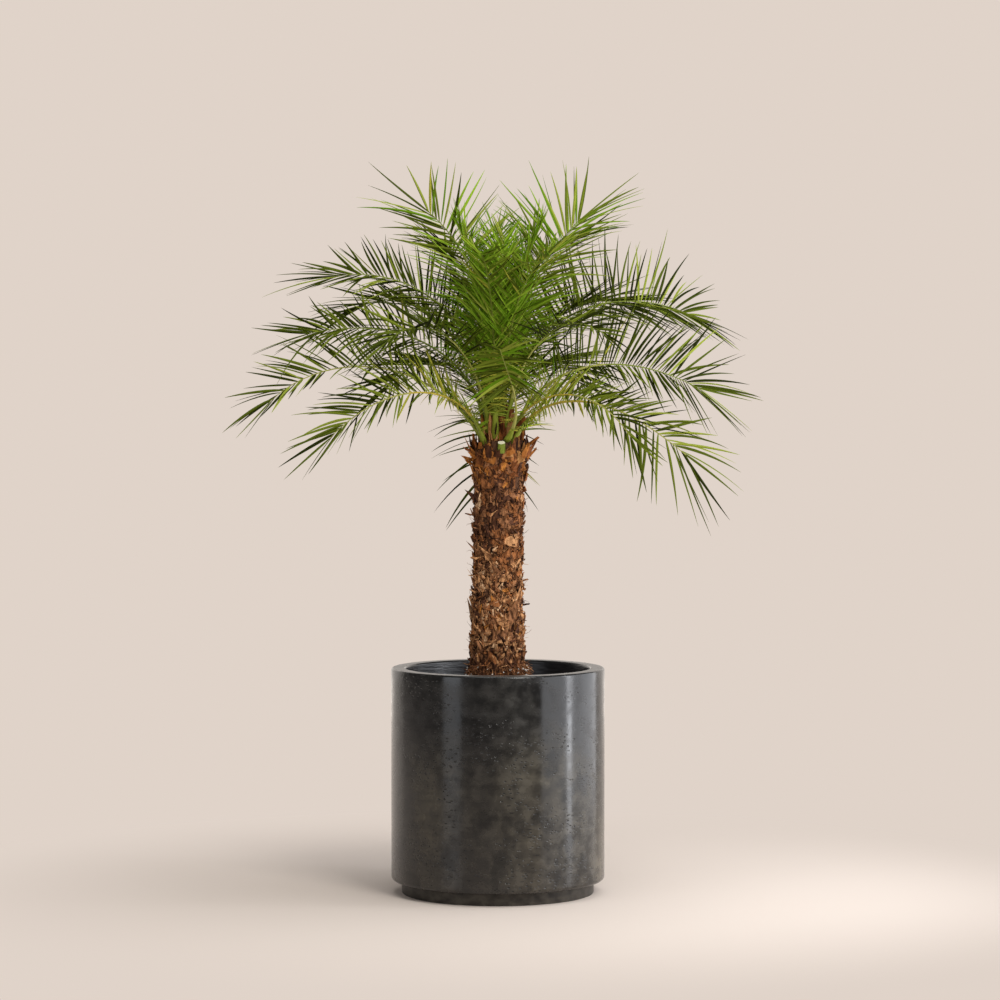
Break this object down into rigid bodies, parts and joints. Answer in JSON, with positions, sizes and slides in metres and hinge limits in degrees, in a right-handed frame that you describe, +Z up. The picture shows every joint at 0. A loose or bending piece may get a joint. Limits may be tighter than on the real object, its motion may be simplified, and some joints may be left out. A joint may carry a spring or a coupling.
{
  "type": "potted pygmy date palm",
  "caption": "Pygmy date palm with one rough trunk and a full crown of arching feather fronds, in a round polished concrete planter.",
  "frame": {"origin": "centre of the planter's flat underside, on the floor", "axes": "+Z up along the trunk, -Y towards the front of the plant, +X to its right seen from the front"},
  "size_m": [1.2059, 0.9144, 1.694],
  "materials": {
    "planter": "polished dark mottled concrete",
    "soil": "rough, dark, fibrous",
    "trunk": "rough boots and fibre",
    "heart": "smooth green petioles in brown fibre",
    "frond": "satin green leaf",
    "young_frond": "satin bright green leaf"
  },
  "bodies": {
    "root": {"planter": "planter", "soil": "soil", "trunk": "trunk", "crown_heart": "heart", "frond_01_inner": "frond", "frond_01_outer": "frond", "frond_02_inner": "frond", "frond_02_outer": "frond", "frond_03_inner": "frond", "frond_03_outer": "frond", "frond_04_inner": "frond", "frond_04_outer": "frond", "frond_05_inner": "frond", "frond_05_outer": "frond", "frond_06_inner": "frond", "frond_06_outer": "frond", "frond_07_inner": "frond", "frond_07_outer": "frond", "frond_08_inner": "frond", "frond_08_outer": "frond", "frond_09_inner": "frond", "frond_09_outer": "frond", "frond_10_inner": "frond", "frond_10_outer": "frond", "frond_11_inner": "frond", "frond_11_outer": "frond", "frond_12_inner": "frond", "frond_12_outer": "frond", "frond_13_inner": "frond", "frond_13_outer": "frond", "frond_14_inner": "frond", "frond_14_outer": "frond", "frond_15_inner": "frond", "frond_15_outer": "frond", "frond_16_inner": "young_frond", "frond_16_outer": "young_frond", "frond_17_inner": "young_frond", "frond_17_outer": "young_frond", "frond_18_inner": "young_frond", "frond_18_outer": "young_frond", "frond_19_inner": "young_frond", "frond_19_outer": "young_frond", "frond_20_inner": "frond", "frond_20_outer": "frond", "frond_21_inner": "frond", "frond_21_outer": "frond", "frond_22_inner": "frond", "frond_22_outer": "frond", "frond_23_inner": "frond", "frond_23_outer": "frond", "frond_24_inner": "frond", "frond_24_outer": "frond", "frond_25_inner": "frond", "frond_25_outer": "frond", "frond_26_inner": "frond", "frond_26_outer": "frond", "frond_27_inner": "frond", "frond_27_outer": "frond"}
  },
  "joints": []
}
